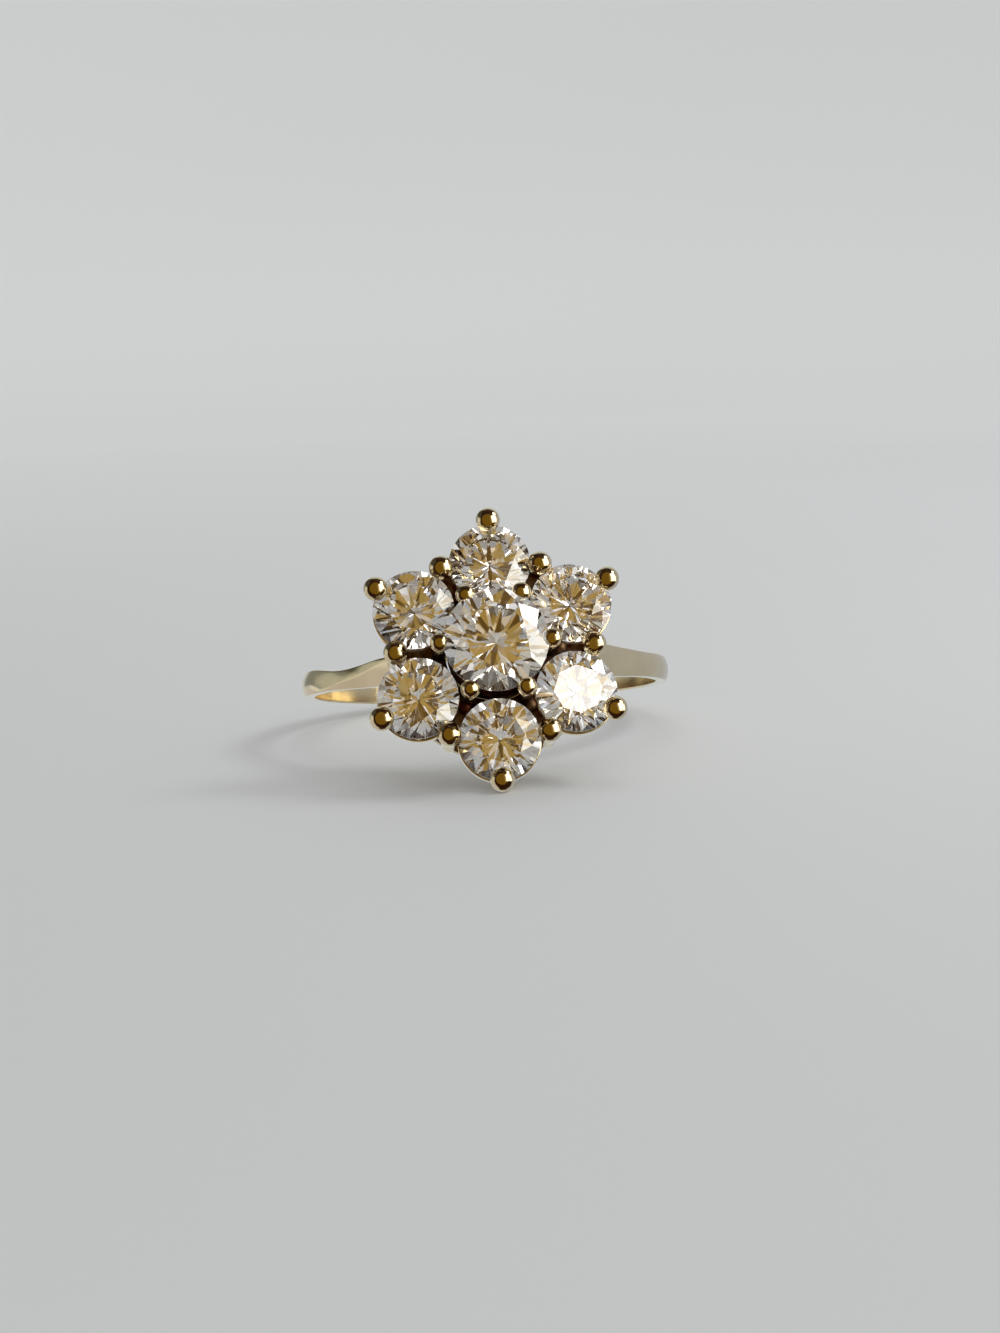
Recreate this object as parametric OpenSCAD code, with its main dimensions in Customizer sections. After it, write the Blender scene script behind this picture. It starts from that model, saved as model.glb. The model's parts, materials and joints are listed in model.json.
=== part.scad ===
/* [Shank] */
// Diameter of the finger hole
finger_d = 17.9; // [17:0.1:18.5]
// Thickness of the shank, from the finger hole to its outer face
shank_t = 0.7; // [0.6:0.05:0.9]
// Width of the shank at the back and the sides
shank_w = 1.26; // [1.1:0.02:1.5]
// How much wider each shoulder grows on its upper edge as it nears the head
shoulder_up = 0.34; // [0.1:0.02:0.4]
// How much wider each shoulder grows on its lower edge
shoulder_down = 0.12; // [0:0.02:0.2]
// How far the outer face of each shoulder rises to meet the head
shoulder_rise = 0.9; // [0.6:0.05:1]
// How far the outer face of the shank is domed across its width
shank_dome = 0.16; // [0.1:0.01:0.2]

/* [Head] */
// Lean of the head, its top away from the viewer, against the plane of the shank
head_lean = 10.5; // [8:0.5:11]
// Distance from the finger axis to the girdles of the petal stones
petal_h = 13.2; // [13:0.1:13.4]
// Distance from the finger axis to the girdle of the centre stone
centre_h = 15.2; // [15:0.1:15.4]
// Radius of the circle on which the petal stones sit
petal_circle_r = 4.45; // [4.4:0.01:4.5]
// Outward tilt of each petal stone
petal_tilt = 6; // [4:0.5:7]

/* [Stones] */
// Diameter of the centre stone
centre_d = 5.1; // [5:0.05:5.2]
// Diameter of each petal stone
petal_d = 4; // [3.9:0.05:4.05]
// Width of the table as a share of the diameter
table_share = 0.6; // [0.56:0.01:0.62]
// Angle of the crown's main facets
crown_angle = 34; // [32:0.5:36]
// Angle of the pavilion's main facets
pavilion_angle = 42.5; // [41.5:0.5:43]

/* [Claws] */
// Diameter of the ball tips round the outside of the head
outer_ball_d = 1.2; // [1.1:0.02:1.24]
// Diameter of the ball tips round the centre stone
centre_ball_d = 0.96; // [0.9:0.02:1]
// Diameter of the wire of the outer claws
outer_wire_d = 0.8; // [0.7:0.02:0.84]
// Diameter of the wire of the centre claws
centre_wire_d = 0.66; // [0.6:0.02:0.7]

/* [Hidden] */
gold = "#d0bb88";
clear_stone = "#e9eaec";

// The finger hole and the shank
finger_r = finger_d / 2;
shank_r = finger_r + shank_t;
shank_steps = 72;
flare_from = 62; // degrees from the head at which a shoulder starts to widen
flare_to = 27;
rise_from = 46;
rise_to = 23;
hidden_r = finger_r - 0.6; // the swept blank starts inside the hole, which the bore then opens

// The head: heights are distances from the finger axis, along the head's own axis
lean_at = 11;
stones = 6;
step = 360 / stones;
base_h = [9.4, 10.3];
base_r = [2.3, 3.2];
rail_h = 10.9;
rail_r = 4.6;
rail_wire_r = 0.36;
seat_drop = [0.9, 0.4]; // lower and upper edge of a seat ring, below the girdle
seat_in = 0.7; // a seat ring's inner edge is this much inside the girdle
seat_out = 0.05; // and its outer edge this much outside
seat_slope = 0.12;
collet_drop = [2.7, 0.4]; // the centre stone's seat is a wall down to the inner rail
collet_in = 0.45;
collet_out = -0.1; // it stays hidden under the girdle
bar_h = 12.7;
bar_w = 0.5;
bar_t = 0.6;
inner_rail_r = [2.42, 3];
inner_rail_h = [12.34, 12.9];
tip_r = 6.53;
tip_h = 13.62;
notch_r = 4.84;
notch_h = 13.62;
centre_claw_r = 2.72;
centre_claw_h = 15.1;
knob_r = 3.2;
knob_h = 13.2;
knob_d = 0.66;
knee_r = 6.05;
knee_h = 12.3;
foot_r = 2.85;
foot_h = 9.85;
seat_gap = 0.04; // a stone is clear of its seat and its claws by about this much
smooth = 48;

// A round brilliant of radius 1: how far out its facet corners lie, and how high or low
girdle_rise = 0.03;
star_share = (1 + table_share * cos(22.5)) / 2; // the stars reach halfway to the girdle
lower_share = 0.16;
table_rise = girdle_rise + (1 - table_share) * tan(crown_angle);
star_rise = table_rise - (star_share * cos(22.5) - table_share) * tan(crown_angle);
culet_fall = girdle_rise + tan(pavilion_angle);
lower_fall = culet_fall - lower_share * cos(22.5) * tan(pavilion_angle);

// How the ring lies: on the ball of its lowest claw and on the lower back edge of the shank
edge_back = back_edge(-1);
claw_low = head_to_ring([0, -tip_r, tip_h]);
run = edge_back[0] - claw_low[1];
drop = edge_back[1] - claw_low[2];
rest_tilt = atan2(drop, run) + asin(outer_ball_d / 2 / norm([run, drop]));
floor_z = lay(claw_low)[2] - outer_ball_d / 2;
front_y = lay(claw_low)[1] - outer_ball_d / 2;
back_y = max([for (p = section(180)) lay([0, p[0], p[1]])[1]]);

// A point of the head (across, up, height) in the ring's own frame, whose axis is the finger's
function head_to_ring(p) = [
    p[0],
    -lean_at - (p[2] - lean_at) * cos(head_lean) + p[1] * sin(head_lean),
    (p[2] - lean_at) * sin(head_lean) + p[1] * cos(head_lean)
];

// A point of the ring's own frame after the ring is tipped back, its head side up
function lay(p) = [
    p[0],
    p[1] * cos(rest_tilt) + p[2] * sin(rest_tilt),
    -p[1] * sin(rest_tilt) + p[2] * cos(rest_tilt)
];

// 0 before the first value, 1 after the second, and a smooth rise between them
function eased(x, from, to) =
    let (t = min(1, max(0, (x - from) / (to - from)))) t * t * (3 - 2 * t);

// The shank's section at an angle from the head: radius and height, round the outline
function section(a) =
    let (
        flare = eased(abs(a), flare_from, flare_to),
        up = shank_w / 2 + shoulder_up * flare,
        down = shank_w / 2 + shoulder_down * flare,
        r = shank_r + shoulder_rise * eased(abs(a), rise_from, rise_to),
        mid = (up - down) / 2,
        half = (up + down) / 2,
        face = [for (t = [-0.86, -0.5, 0, 0.5, 0.86]) [r - shank_dome * t * t, mid + half * t]]
    )
    concat(
        [[hidden_r, -down], [r - 2.4 * shank_dome, -down]],
        face,
        [[r - 2.4 * shank_dome, up], [hidden_r, up]]
    );

// The lower (-1) or upper (1) edge of the shank at the back, where it can touch the floor
function back_edge(side) = section(180)[side < 0 ? 1 : 7];

function polar(r, a, z) = [r * cos(a), r * sin(a), z];

// A round brilliant about the middle of its girdle, from the shares of its radius
module brilliant(d) {
    r = d / 2;
    // The girdle dips between the points where the facets meet it
    bulge = (1 - cos(11.25)) / cos(11.25);
    top_dip = bulge * (star_rise - girdle_rise) / (1 - star_share);
    low_dip = bulge * (lower_fall - girdle_rise) / (1 - lower_share);
    table = [for (k = [0:7]) polar(table_share, 45 * k, table_rise)];
    star = [for (k = [0:7]) polar(star_share, 45 * k + 22.5, star_rise)];
    top = [for (i = [0:31]) polar(1, 11.25 * i, girdle_rise - top_dip * (i % 2))];
    low = [for (i = [0:31]) polar(1, 11.25 * i, -girdle_rise + low_dip * (i % 2))];
    lower = [for (k = [0:7]) polar(lower_share, 45 * k + 22.5, -lower_fall)];
    s = 8; // where each ring of corners starts in the list
    t = 16;
    g = 48;
    l = 80;
    culet = 88;
    polyhedron(
        points = r * concat(table, star, top, low, lower, [[0, 0, -culet_fall]]),
        faces = concat(
            [[for (k = [7:-1:0]) k]],
            [for (k = [0:7]) [k, (k + 1) % 8, s + k]],
            [for (k = [0:7]) [k, s + k, t + 4 * k, s + (k + 7) % 8]],
            [for (k = [0:7]) [s + k, t + 4 * k + 2, t + 4 * k + 1, t + 4 * k]],
            [for (k = [0:7]) [s + k, t + (4 * k + 4) % 32, t + 4 * k + 3, t + 4 * k + 2]],
            [for (i = [0:31]) [t + i, t + (i + 1) % 32, g + (i + 1) % 32, g + i]],
            [for (k = [0:7]) [l + k, g + 4 * k, g + 4 * k + 1, g + 4 * k + 2]],
            [for (k = [0:7]) [l + k, g + 4 * k + 2, g + 4 * k + 3, g + (4 * k + 4) % 32]],
            [for (k = [0:7]) [culet, l + (k + 7) % 8, g + 4 * k, l + k]]
        )
    );
}

// The room that a stone takes, turned about its axis, with the seat's clearance
module stone_room(d) {
    r = d / 2;
    gap = seat_gap;
    rotate_extrude($fn = smooth)
        polygon([
            [0, -r * culet_fall - gap],
            [r * lower_share + gap, -r * lower_fall - gap / 2],
            [r + gap, -r * girdle_rise - gap / 2],
            [r + gap, r * girdle_rise + gap / 2],
            [r * star_share + gap, r * star_rise + gap / 2],
            [r * table_share + gap, r * table_rise + gap],
            [0, r * table_rise + gap]
        ]);
}

// Places what is drawn about the girdle's middle at each stone of the head
module at_centre() {
    translate([0, 0, centre_h]) children();
}

module at_petal(i) {
    rotate(90 - step * i) translate([petal_circle_r, 0, petal_h]) rotate([0, petal_tilt, 0])
        children();
}

// A straight wire between two points, as thick as given at each end
module wire(from, to, r1, r2) {
    v = to - from;
    translate(from) rotate([0, acos(v[2] / norm(v)), atan2(v[1], v[0])])
        cylinder(h = norm(v), r1 = r1, r2 = r2, $fn = smooth);
}

module ball(at, d) {
    translate(at) sphere(d = d, $fn = smooth);
}

// An outer claw at a petal's tip: up from the base ring, a knee, then up past the girdle
module tip_claw() {
    r = outer_wire_d / 2;
    wire([foot_r, 0, foot_h], [knee_r, 0, knee_h], r, r);
    ball([knee_r, 0, knee_h], outer_wire_d + 0.06);
    wire([knee_r, 0, knee_h], [tip_r, 0, tip_h], r, r);
    ball([tip_r, 0, tip_h], outer_ball_d);
}

// A claw between two petals, which holds both, with the bar that ties it to a centre claw
module notch_claws() {
    r = outer_wire_d / 2;
    wire([foot_r, 0, foot_h], [notch_r, 0, rail_h + 0.3], r, r);
    wire([notch_r, 0, rail_h], [notch_r, 0, notch_h], r, r);
    ball([notch_r, 0, notch_h], outer_ball_d);
    translate([centre_claw_r, -bar_w / 2, bar_h - bar_t / 2])
        cube([notch_r - centre_claw_r, bar_w, bar_t]);
    wire([knob_r, 0, bar_h], [knob_r, 0, knob_h], knob_d * 0.4, knob_d * 0.4);
    ball([knob_r, 0, knob_h], knob_d);
    wire([centre_claw_r, 0, foot_h], [centre_claw_r, 0, centre_claw_h],
        centre_wire_d / 2, centre_wire_d / 2);
    ball([centre_claw_r, 0, centre_claw_h], centre_ball_d);
}

// The ring that a stone rests in, about the stone's own axis and below its girdle
module seat_ring(inner, outer, drop) {
    rotate_extrude($fn = smooth)
        polygon([
            [inner, -drop[0]],
            [outer - seat_slope, -drop[0]],
            [outer, -drop[1]],
            [inner, -drop[1]]
        ]);
}

// The flat ring at the petals' level that ties the centre claws and the bars together
module inner_rail() {
    translate([0, 0, inner_rail_h[0]]) rotate_extrude($fn = smooth)
        translate([inner_rail_r[0], 0])
            square([inner_rail_r[1] - inner_rail_r[0], inner_rail_h[1] - inner_rail_h[0]]);
}

module base_ring() {
    translate([0, 0, base_h[0]]) difference() {
        cylinder(h = base_h[1] - base_h[0], r = base_r[1], $fn = smooth);
        translate([0, 0, -1]) cylinder(h = 3, r = base_r[0], $fn = smooth);
    }
}

module gallery_rail() {
    translate([0, 0, rail_h]) rotate_extrude($fn = smooth)
        translate([rail_r, 0]) circle(r = rail_wire_r, $fn = smooth);
}

// The head in its own frame: its axis is Z, and heights are distances from the finger axis
module head() {
    base_ring();
    gallery_rail();
    inner_rail();
    at_centre() seat_ring(centre_d / 2 - collet_in, centre_d / 2 + collet_out, collet_drop);
    for (i = [0:stones - 1]) {
        at_petal(i) seat_ring(petal_d / 2 - seat_in, petal_d / 2 + seat_out, seat_drop);
        rotate(90 - step * i) tip_claw();
        rotate(60 - step * i) notch_claws();
    }
}

// Leans what is drawn in the head's frame into the ring's own frame
module leaned() {
    translate([0, -lean_at, 0]) rotate([90 - head_lean, 0, 0]) translate([0, 0, -lean_at])
        children();
}

// Lays what is drawn in the ring's own frame on the floor, centred over the origin
module laid() {
    translate([0, -(front_y + back_y) / 2, -floor_z]) rotate([-rest_tilt, 0, 0]) children();
}

// The shank before its finger hole is bored, swept through its sections
module shank_blank() {
    n = shank_steps;
    sections = [for (i = [0:n - 1]) section(i <= n / 2 ? 360 * i / n : 360 * i / n - 360)];
    m = len(sections[0]);
    polyhedron(
        points = [
            for (i = [0:n - 1]) for (p = sections[i])
                [p[0] * sin(360 * i / n), -p[0] * cos(360 * i / n), p[1]]
        ],
        faces = [
            for (i = [0:n - 1]) for (j = [0:m - 1])
                let (a = i * m, b = (i + 1) % n * m, k = (j + 1) % m)
                [a + j, a + k, b + k, b + j]
        ]
    );
}

module ring_mount() {
    color(gold) laid() difference() {
        union() {
            difference() {
                shank_blank();
                leaned() cylinder(h = 2 * lean_at, r = base_r[0], $fn = smooth);
                cylinder(h = 12, r = finger_r, center = true, $fn = 144);
            }
            leaned() head();
        }
        leaned() at_centre() stone_room(centre_d);
        for (i = [0:stones - 1]) leaned() at_petal(i) stone_room(petal_d);
    }
}

module centre_stone() {
    color(clear_stone) laid() leaned() at_centre() rotate(33) brilliant(centre_d);
}

module petal_stone(i) {
    color(clear_stone) laid() leaned() at_petal(i) rotate(17 * i) brilliant(petal_d);
}

ring_mount();
centre_stone();
for (i = [0:stones - 1])
    petal_stone(i);
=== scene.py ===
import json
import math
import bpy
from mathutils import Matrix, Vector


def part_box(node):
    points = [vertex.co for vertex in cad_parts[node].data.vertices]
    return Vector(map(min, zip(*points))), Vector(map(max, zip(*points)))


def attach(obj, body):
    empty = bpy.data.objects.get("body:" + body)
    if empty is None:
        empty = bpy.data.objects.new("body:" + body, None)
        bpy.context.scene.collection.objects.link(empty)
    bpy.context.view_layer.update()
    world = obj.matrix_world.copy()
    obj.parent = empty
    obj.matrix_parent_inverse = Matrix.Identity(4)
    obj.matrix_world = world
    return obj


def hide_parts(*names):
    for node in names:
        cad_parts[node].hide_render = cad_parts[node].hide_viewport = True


bl_info = {
    "name": "Cubic zirconia cluster ring",
    "version": (1, 0, 0),
    "blender": (4, 5, 0),
    "location": "3D View > Sidebar > Cluster Ring",
    "description": "Builds the mount, the stones' finish and the stage of a flower cluster ring",
    "category": "Object",
}

import bpy
import numpy as np
from bpy.props import FloatProperty, FloatVectorProperty, PointerProperty
from mathutils import Matrix, Vector

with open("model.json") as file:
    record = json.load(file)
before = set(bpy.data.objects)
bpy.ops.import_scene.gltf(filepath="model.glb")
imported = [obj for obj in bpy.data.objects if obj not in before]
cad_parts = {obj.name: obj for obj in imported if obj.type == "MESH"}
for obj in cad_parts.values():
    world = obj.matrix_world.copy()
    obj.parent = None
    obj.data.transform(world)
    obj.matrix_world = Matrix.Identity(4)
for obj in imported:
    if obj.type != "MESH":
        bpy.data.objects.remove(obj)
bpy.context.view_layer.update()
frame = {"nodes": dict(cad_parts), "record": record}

MM = 0.001
BODY = "root"
MOUNT_NODE = "ring_mount"
PETALS = 6
PETAL_STEP = 2 * math.pi / PETALS
FIRST_PETAL, FIRST_NOTCH = math.pi / 2, 0
MIRRORING_PETAL = "petal_stone_3"
STONE_NODES = ["centre_stone"] + [f"petal_stone_{i + 1}" for i in range(PETALS)]

# How many points each surface has along its two ways
SHANK_ROWS, SHANK_COLUMNS, DOME_POINTS = 480, 96, 25
RING_TURNS, SECTION_POINTS, WIRE_POINTS = 192, 72, 40
CLAW_ROWS, KNOB_ROWS, TOP_ROWS, BAR_ROWS, WIRE_SIDES = 56, 24, 18, 12, 32
FLOOR_TURNS, CARD_TURNS, STAGE_ROWS, CARD_RISES = 96, 64, 24, 12

# Lengths over which the edges of the gallery's bands and of its thin walls are rounded
BAND_EDGE, WALL_EDGE = 0.22 * MM, 0.16 * MM
# Power that squares a bar's section, and the width of a claw's neck as a share of its ball
SQUARED, NECK = 0.4, 0.12
# Half the angle over which the ridge fades out, in radians, and how much of the dome it takes away
RIDGE_FADE, RIDGE_FLAT = 0.15, 0.7

# The floor's radius, the backdrop's radius and height, and the round cards' height in degrees
FLOOR_REACH, BACKDROP_REACH, BACKDROP_TOP = 110 * MM, 620 * MM, 420 * MM
CARD_RISE = 12

# The frame states the finger hole, which says where the ring lies and how far it is tipped back
finger_hole = next(m for m in frame["record"]["mounts"] if m["name"] == "finger_hole")
HOLE_CENTRE = np.array(finger_hole["pos_m"])
HOLE_RADIUS = finger_hole["dims"]["r_mm"] * MM
REST_TILT = math.atan2(finger_hole["axis"][1], finger_hole["axis"][2])
HEAD_MIDDLE = sum(np.array(corner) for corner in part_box("centre_stone")) / 2


def linear(hex_colour):
    """Turns an sRGB hex colour into linear red, green, blue and a full alpha."""
    srgb = [int(hex_colour[i : i + 2], 16) / 255 for i in (1, 3, 5)]
    return [c / 12.92 if c <= 0.04045 else ((c + 0.055) / 1.055) ** 2.4 for c in srgb] + [1.0]


def number(name, description, value, **kind):
    """A property that is a plain number, unless its kind is given."""
    return FloatProperty(name=name, description=description, default=value, **kind)


def length(name, description, millimetres):
    """A length property, given in millimetres and held in metres."""
    return number(name, description, millimetres * MM, unit="LENGTH", precision=5)


def angle(name, description, degrees):
    """An angle property, given in degrees and held in radians."""
    return number(name, description, math.radians(degrees), subtype="ANGLE")


def colour(name, description, hex_colour):
    """A colour property, given as an sRGB hex value and held as linear light."""
    return FloatVectorProperty(
        name=name, description=description, default=linear(hex_colour), size=4, subtype="COLOR"
    )


class RingShankSizes(bpy.types.PropertyGroup):
    """Sizes of the shank. Angles are measured from the head, about the finger's axis."""

    thickness: length("Thickness", "From the finger hole to the outer face", 0.7)
    width: length("Width", "Across the shank at its back and sides", 1.26)
    shoulder_up: length("Shoulder, upper edge", "How far it flares by the head", 0.34)
    left_up: length("Left shoulder, upper edge", "The same on the left, filed down", 0.04)
    left_waist: length("Left waist", "How far the left upper edge dips beside its shoulder", 0.3)
    waist_from: angle("Waist starts", "Where the left upper edge starts to dip", 74)
    waist_to: angle("Waist ends", "Where it is back", 31)
    shoulder_down: length("Shoulder, lower edge", "How far it flares by the head", 0.12)
    shoulder_rise: length("Shoulder rise", "How far the outer face rises to meet the head", 0.9)
    dome: length("Dome", "How far the outer face falls to its edges", 0.16)
    edge_round: length("Edge rounding", "Length over which each edge is rounded", 0.22)
    ridge: length("Ridge", "Height of the left shoulder's slanting ridge", 0.1)
    flare_from: angle("Flare starts", "Where the shoulders start to widen", 62)
    flare_to: angle("Flare ends", "Where they are widest", 27)
    rise_from: angle("Rise starts", "Where the shoulders start to rise", 46)
    rise_to: angle("Rise ends", "Where they are thickest", 23)
    end_lift: length("End lift", "How far each end of the shank lifts off the finger", 0.45)
    lift_from: angle("Lift starts", "Where the ends start to lift", 22)
    open_to: angle("Opening", "Where the shank stops at the base ring", 14.6)
    ridge_side: angle("Ridge at the side", "Where the ridge leaves the lower edge", 66)
    ridge_head: angle("Ridge at the head", "Where it meets the upper edge", 26)


class RingHeadSizes(bpy.types.PropertyGroup):
    """Sizes of the head. Heights are distances from the finger's axis along the head's axis."""

    lean: angle("Lean", "How far the top of the head leans back", 10.5)
    lean_at: length("Lean pivot", "Height at which the head leans", 11)
    centre_h: length("Centre stone height", "Height of its girdle", 15.2)
    centre_r: length("Centre stone radius", "Radius of its girdle", 2.55)
    petal_h: length("Petal height", "Height of the petal stones' girdles", 13.2)
    petal_r: length("Petal radius", "Radius of each petal stone", 2.0)
    petal_circle: length("Petal circle", "Radius of the circle the petals sit on", 4.45)
    petal_tilt: angle("Petal tilt", "Outward tilt of each petal stone", 6)
    base_in: length("Base ring bore", "Its inner radius", 2.3)
    base_out: length("Base ring", "Its outer radius", 3.2)
    base_low: length("Base ring, lower face", "Height of its lower face", 9.4)
    base_high: length("Base ring, upper face", "Height of its upper face", 10.3)
    rail_h: length("Gallery rail", "Height of the round gallery rail", 10.9)
    rail_circle: length("Gallery rail circle", "Radius of its circle", 4.6)
    rail_wire: length("Gallery rail wire", "Radius of its wire", 0.36)
    inner_in: length("Inner rail bore", "Inner radius of the flat inner rail", 2.42)
    inner_out: length("Inner rail", "Its outer radius", 3.0)
    inner_low: length("Inner rail, lower face", "Height of its lower face", 12.34)
    inner_high: length("Inner rail, upper face", "Height of its upper face", 12.9)
    bar_h: length("Bar height", "Height of the bars between the petals", 12.7)
    bar_wide: length("Bar width", "Width of each bar", 0.5)
    bar_tall: length("Bar depth", "Depth of each bar", 0.6)
    seat_low: length("Seat, lower edge", "How far a seat ring starts below the girdle", 0.9)
    seat_high: length("Seat, upper edge", "How far it ends below the girdle", 0.4)
    seat_in: length("Seat, inner edge", "How far it reaches in from the girdle", 0.7)
    seat_out: length("Seat, outer edge", "How far it reaches past the girdle", 0.05)
    collet_low: length("Collet, lower edge", "How far the centre seat starts below the girdle", 2.7)
    collet_in: length("Collet, inner edge", "How far it reaches in from the girdle", 0.45)
    collet_out: length("Collet, outer edge", "How far it stays inside the girdle", 0.1)
    collet_slope: length("Collet, slope", "How far its lower edge draws in", 0.12)


class RingClawSizes(bpy.types.PropertyGroup):
    """Sizes of the claws. Each claw is a wire that swells into a ball at its tip."""

    outer_wire: length("Outer wire", "Radius of the wire of the outer claws", 0.4)
    outer_ball: length("Outer ball", "Radius of the balls round the outside", 0.6)
    centre_wire: length("Centre wire", "Radius of the wire of the centre claws", 0.33)
    centre_ball: length("Centre ball", "Radius of the balls round the centre stone", 0.48)
    knob_wire: length("Knob wire", "Radius of the stem of the low inner knobs", 0.2)
    knob_ball: length("Knob ball", "Radius of the low inner knobs", 0.33)
    foot_circle: length("Foot circle", "Radius at which the claws leave the base ring", 2.85)
    foot_h: length("Foot height", "Height at which they leave it", 9.85)
    knee_circle: length("Knee circle", "Radius of the circle of the tip claws' knees", 6.05)
    knee_h: length("Knee height", "Height of the tip claws' knees", 12.3)
    notch_knee_h: length("Notch knee height", "Height of the knees between the petals", 11.2)
    tip_circle: length("Tip circle", "Radius of the circle of the outer balls", 6.53)
    notch_circle: length("Notch circle", "Radius of the circle of those between petals", 4.84)
    outer_h: length("Outer ball height", "Height of both", 13.62)
    centre_circle: length("Centre circle", "Radius of the circle of the centre claws", 2.72)
    centre_h: length("Centre ball height", "Height of their balls", 15.1)
    knob_circle: length("Knob circle", "Radius of the circle of the inner knobs", 3.2)
    knob_h: length("Knob height", "Height of the inner knobs", 13.2)
    bend: length("Bend", "Length over which a claw's knee is rounded", 0.8)
    gap: length("Gap", "How far the metal keeps off the stones", 0.012)


class RingStoneShape(bpy.types.PropertyGroup):
    """Proportions of the round brilliants, as shares of the radius and angles."""

    table: number("Table", "Radius of the table", 0.6)
    crown: angle("Crown angle", "Slope of the crown's main facets", 34)
    pavilion: angle("Pavilion angle", "Slope of the pavilion's main facets", 42.5)
    girdle: number("Girdle", "Half the girdle's thickness", 0.03)
    star: number("Stars", "How far the star facets reach out", 0.5)
    lower: number("Lower facets", "Where they end, from the axis", 0.16)


class RingFinish(bpy.types.PropertyGroup):
    """Colours and surface values of the gold and the stones."""

    gold: colour("Gold", "Polished pale yellow gold, face on", "#dfd0ab")
    gold_deep: colour("Gold, deeper", "The gold where it is slightly duller", "#cfbf99")
    # The soil colour stands for old dirt in the gallery and for painted shade deep in the head,
    # under the stones
    soil_and_shade: colour("Soil", "Old polish and dirt left in the gallery", "#4d261a")
    soil_and_shade_top: length("Soil, upper limit", "Height below which the head is soiled", 13.0)
    soil_and_shade_low: length("Soil, lower limit", "Height above which it is soiled", 10.9)
    soil_and_shade_reach: length("Soil, outer limit", "Radius inside which it is soiled", 4.7)
    stone: colour("Stone", "Clear cubic zirconia", "#fbf9f6")
    stone_warm: colour("Stone, warm", "The faint warm flashes in the stones", "#fcf2e4")
    stone_cool: colour("Stone, cool", "The faint cool flashes in the stones", "#edf2fa")
    stone_ior: number("Stone IOR", "How far cubic zirconia bends light", 2.16)


class RingStageSettings(bpy.types.PropertyGroup):
    """The floor, the lights and the camera, which stands at the photo's angle to the ring."""

    azimuth: angle("Azimuth", "Turn of the camera round the ring", -2.73)
    elevation: angle("Elevation", "Height of the camera as an angle", 9.59)
    roll: angle("Roll", "Turn of the camera about its axis", -2.14)
    distance: length("Distance", "From the camera to where it aims", 174.3)
    focus_right: length("Aim right", "How far right of the finger hole it aims", 0.803)
    focus_up: length("Aim up", "How far above the finger hole it aims", 0.626)
    lens: number("Lens", "Focal length on a frame 36 mm tall", 89.5)
    floor: colour("Floor", "Pale floor and backdrop", "#d0d3d3")
    glow: number("Backdrop glow", "How brightly it glows", 0.42)
    glow_near: number("Floor glow", "The same under the ring", 0.14)
    glow_from: length("Glow, from", "Distance from the ring where it starts to grow", 14)
    glow_to: length("Glow, to", "Distance where it glows fully", 240)
    room_left: colour("Room, left", "Dimmer left side of the room", "#aaa29b")
    room_right: colour("Room, right", "Bright right side of the room", "#f1f2f3")
    horizon: number("Horizon", "Brightness level with the ring", 0.62)
    zenith: number("Ceiling", "Brightness overhead", 0.8)
    tan: colour("Tan card", "Round the camera, seen in the stones", "#ae904e")
    tan_dark: colour("Tan card, dark", "Its darker patches", "#5c441f")
    tan_pale: colour("Tan card, pale", "Its pale patches", "#d8cab4")
    tan_reach: angle("Tan card, reach", "How far round the camera it reaches", 32)
    walls: colour("Walls", "Past the tan card, seen in the stones", "#aaa7a3")
    walls_dark: colour("Walls, dark", "Dark things on them", "#6a625b")
    walls_pale: colour("Walls, pale", "White things on them", "#fbfcff")
    amber: colour("Amber card", "Round the camera, seen in the metal", "#7d611f")
    amber_reach: angle("Amber card, reach", "How far round the camera it reaches", 58)
    cream: colour("Cream card", "On the right, seen in the metal", "#cfc8a6")
    surround: colour("Dark surround", "Round the amber card", "#321d12")
    surround_reach: angle("Dark surround, reach", "How far round the camera it reaches", 112)
    side_low: colour("Side, low", "Beside and below the left shoulder", "#d6d2d6")
    side_strip: colour("Side, strip", "Level with the left shoulder", "#f4f6fa")
    side_mid: colour("Side, middle", "Above the strip", "#dcdfd8")
    side_far: colour("Side, far", "Past the strip", "#8c9393")
    side_near: colour("Side, near", "Between the strip and that", "#c9cdc9")
    side_high: colour("Side, high", "Above the left shoulder", "#4d4a42")
    side_back: colour("Side, back", "Behind the ring", "#d3d9dd")
    side_right: colour("Side, right", "Beside the right shoulder", "#bcc0ca")


# Frames


def laid(points):
    """Takes points of the ring's own frame, whose Z is the finger's axis, to the floor: turned
    about X by the rest tilt, then moved."""
    c, s = math.cos(REST_TILT), math.sin(REST_TILT)
    x, y, z = np.moveaxis(points, -1, 0)
    return np.stack([x, y * c + z * s, z * c - y * s], -1) + HOLE_CENTRE


def leaned(points, sizes):
    """Takes points of the head (across, up, height) to the ring's own frame: the height is measured
    from the lean's pivot, up and height are turned by the lean, and height points to -Y."""
    c, s = math.cos(sizes.lean), math.sin(sizes.lean)
    x, u, h = np.moveaxis(points, -1, 0)
    h = h - sizes.lean_at
    return np.stack([x, -sizes.lean_at - h * c + u * s, h * s + u * c], -1)


def turned(points, turn):
    """Turns points of the head about the head's axis: x' = x cos - u sin, u' = x sin + u cos."""
    c, s = math.cos(turn), math.sin(turn)
    x, u, h = np.moveaxis(points, -1, 0)
    return np.stack([x * c - u * s, x * s + u * c, h], -1)


def at_petal(points, sizes):
    """Takes points about a stone's girdle to the petal on the head's X axis: tipped outward, then
    moved out to the petal circle and up to the petals' height."""
    c, s = math.cos(sizes.petal_tilt), math.sin(sizes.petal_tilt)
    x, u, h = np.moveaxis(points, -1, 0)
    return np.stack([x * c + h * s + sizes.petal_circle, u, h * c - x * s + sizes.petal_h], -1)


def eased(x, start, end):
    """0 at start, 1 at end and t t (3 - 2 t) between them."""
    t = np.clip((x - start) / (end - start), 0, 1)
    return t * t * (3 - 2 * t)


# Surfaces


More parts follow.
